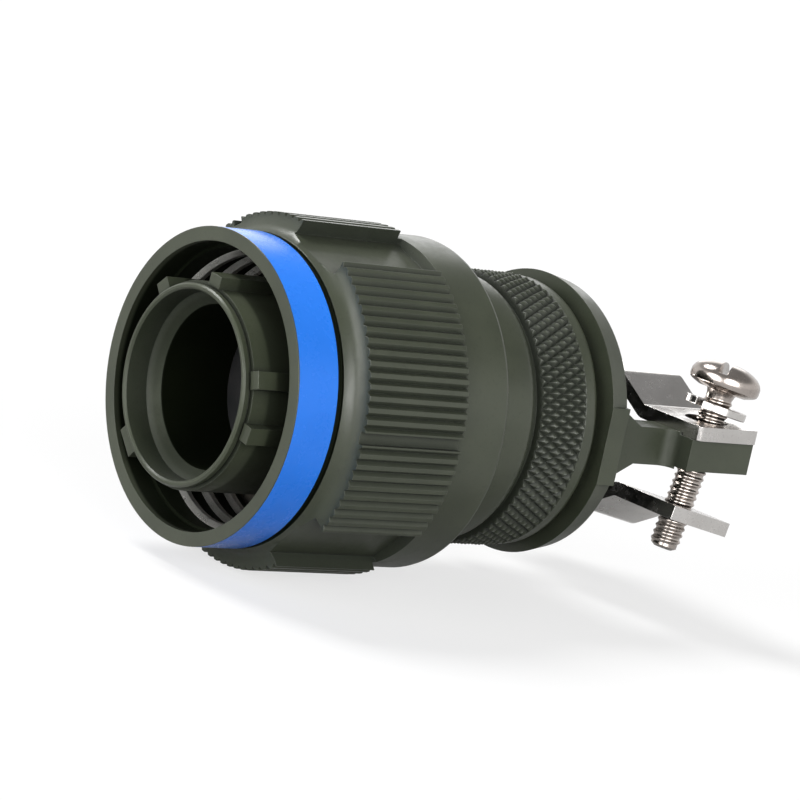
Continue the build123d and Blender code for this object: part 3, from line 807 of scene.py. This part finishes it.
def make_screw_head():
    """A domed head with a rolled rim, slotted across."""
    low = HEAD_UNDERSIDE
    section = [(low, 0), (low, 2.3), (low + 0.3, 3.1), (low + 0.48, 3.36), (low + 0.8, HEAD_R),
               (low + 1.35, 3.43), (low + 1.75, 3.25), (low + 2.1, 2.9), (low + 2.4, 2.38),
               (low + 2.62, 1.75), (low + 2.74, 1.0), (low + HEAD_HEIGHT, 0)]
    head = turned("screw_head", section, HEAD_STEPS, along="Z")
    deselect()
    bpy.ops.mesh.primitive_cube_add(size=1)
    cutter = bpy.context.object
    put_in_place(cutter, Matrix.Translation((0, 0, (low + HEAD_HEIGHT) * MM))
                 @ Matrix.Rotation(SLOT_ANGLE, 4, "Z")
                 @ Matrix.Diagonal((3 * HEAD_R * MM, SLOT_WIDTH * MM, 2 * SLOT_DEPTH * MM, 1)))
    apply_modifier(head, "BOOLEAN", "slot", operation="DIFFERENCE", solver="EXACT", object=cutter)
    bpy.data.objects.remove(cutter)
    soften_edges(head, 0.07, 2, 35)
    return head


def make_screws():
    """Two clamp screws: head, core and a wound thread."""
    low = HEAD_UNDERSIDE
    head = make_screw_head()
    core = turned("screw_core", [(-SCREW_TIP, 0), (-SCREW_TIP, 0.85), (-SCREW_TIP + 0.25, SCREW_ROOT_R),
                                 (low - 0.6, SCREW_ROOT_R), (low - 0.1, 1.4), (low + 0.05, 1.55),
                                 (low + 0.05, 0)], CORE_STEPS, along="Z")
    start = -SCREW_TIP + 0.12
    rise = SCREW_PITCH / 2
    section = [(start, SCREW_ROOT_R - 0.06), (start + rise - 0.05, SCREW_R), (start + rise + 0.05, SCREW_R),
               (start + 2 * rise, SCREW_ROOT_R - 0.06)]
    turns = (SCREW_TIP + low - 1.1) / SCREW_PITCH
    thread = wound("screw_thread", section, SCREW_PITCH, turns, THREAD_STEPS, along="Z")
    screw = join_pieces([head, core, thread], "left_screw")
    smooth(screw, 32)
    twin = copy_of(screw, "right_screw")
    for piece, side, body, node in ((screw, -1, "left_screw", "left_clamp_screw"),
                                    (twin, 1, "right_screw", "right_clamp_screw")):
        put_in_place(piece, screw_place(side))
        finished(piece, body, screw_steel, [node])


def make_lock_washers():
    """Split spring washers: a square section wound not quite once round, with its ends sprung apart."""
    bottom = HEAD_UNDERSIDE - LOCK_WASHER_DROP - 0.06
    inner, outer, thick = WASHER_INNER_R, WASHER_OUTER_R, WASHER_THICK
    round_edge = WASHER_EDGE
    section = [(bottom + round_edge, inner), (bottom, inner + round_edge), (bottom, outer - round_edge),
               (bottom + round_edge, outer), (bottom + thick - round_edge, outer),
               (bottom + thick, outer - round_edge), (bottom + thick, inner + round_edge),
               (bottom + thick - round_edge, inner)]
    washer = wound("left_washer", section, WASHER_LEAD, WASHER_TURNS, WASHER_STEPS, along="Z")
    smooth(washer, 30)
    twin = copy_of(washer, "right_washer")
    for piece, side, body, node in ((washer, -1, "left_screw", "left_lock_washer"),
                                    (twin, 1, "right_screw", "right_lock_washer")):
        put_in_place(piece, screw_place(side) @ Matrix.Rotation(WASHER_SPLIT, 4, "Z"))
        finished(piece, body, bright_steel, [node])


def add_camera():
    data = bpy.data.cameras.new("camera")
    data.lens = CAMERA_LENS
    data.sensor_width = SENSOR_WIDTH
    camera = bpy.data.objects.new("camera", data)
    bpy.context.scene.collection.objects.link(camera)
    look = (CAMERA_TARGET - CAMERA_PLACE).normalized()
    turn = look.to_track_quat("-Z", "Y").to_matrix().to_4x4()
    camera.matrix_world = Matrix.Translation(CAMERA_PLACE) @ turn @ Matrix.Rotation(CAMERA_ROLL, 4, "Z")
    bpy.context.scene.camera = camera


def add_lamp(name, coming_from, strength, softness):
    """A broad lamp far off, that shines from this direction."""
    data = bpy.data.lights.new(name, "SUN")
    data.energy = strength
    data.angle = math.radians(softness)
    lamp = bpy.data.objects.new(name, data)
    bpy.context.scene.collection.objects.link(lamp)
    lamp.matrix_world = Vector(coming_from).to_track_quat("Z", "Y").to_matrix().to_4x4()


def background_rays(tree, mirrored=1.0):
    """1 for rays that only see the background: the camera's, and those mirrored or let through."""
    path = add_node(tree, "ShaderNodeLightPath")
    others = maths(tree, "MAXIMUM", path.outputs["Is Glossy Ray"], path.outputs["Is Transmission Ray"])
    return maths(tree, "MAXIMUM", path.outputs["Is Camera Ray"], maths(tree, "MULTIPLY", others, mirrored))


def make_floor():
    """A white sheet under the plug's lowest point. Part of its white is seen only, so its shadow is light."""
    deselect()
    bpy.ops.mesh.primitive_plane_add(size=FLOOR_SIZE, location=(0.03, 0, cad_low[2] - FLOOR_DROP))
    floor = bpy.context.object
    floor.name = "floor"
    material, tree, shader = new_material("white_sheet", Roughness=0.9, Specular_IOR_Level=0.0)
    seen = background_rays(tree, MIRRORED_SHEET)
    tree.links.new(blend_colours(tree, seen, FLOOR_BOUNCE, FLOOR_WHITE), shader.inputs["Base Color"])
    glow = add_node(tree, "ShaderNodeEmission", {"Color": (1, 1, 1, 1), "Strength": 1.0})
    share = maths(tree, "MULTIPLY", background_rays(tree, MIRRORED_WHITE / SEEN_WHITE), SEEN_WHITE)
    sheet = add_node(tree, "ShaderNodeMixShader", {0: share, 1: shader.outputs["BSDF"],
                                                   2: glow.outputs["Emission"]})
    tree.links.new(sheet.outputs["Shader"], tree.nodes["Material Output"].inputs["Surface"])
    floor.data.materials.append(material)


def make_world():
    """A room that is white to the eye, with a darker ceiling for what the metal mirrors."""
    world = bpy.data.worlds.new("studio")
    bpy.context.scene.world = world
    world.use_nodes = True
    tree = world.node_tree
    backdrop = tree.nodes["Background"]
    backdrop.inputs["Color"].default_value = (1, 1, 1, 1)
    upwards = add_node(tree, "ShaderNodeSeparateXYZ",
                       {0: add_node(tree, "ShaderNodeTexCoord").outputs["Generated"]}).outputs["Z"]
    wall = spread(tree, upwards, 0.30, 0.62, 1.0, CEILING)
    seen = maths(tree, "MULTIPLY", background_rays(tree), wall)
    tree.links.new(maths(tree, "MAXIMUM", seen, ROOM_LIGHT), backdrop.inputs["Strength"])


finish_nodes()
make_grip_ring()
make_coupling_thread()
make_knurled_nut()
make_screws()
make_lock_washers()
add_camera()
make_floor()
make_world()
for lamp_name, lamp in LAMPS.items():
    add_lamp(lamp_name, *lamp)
bpy.context.scene.view_settings.view_transform = "Standard"
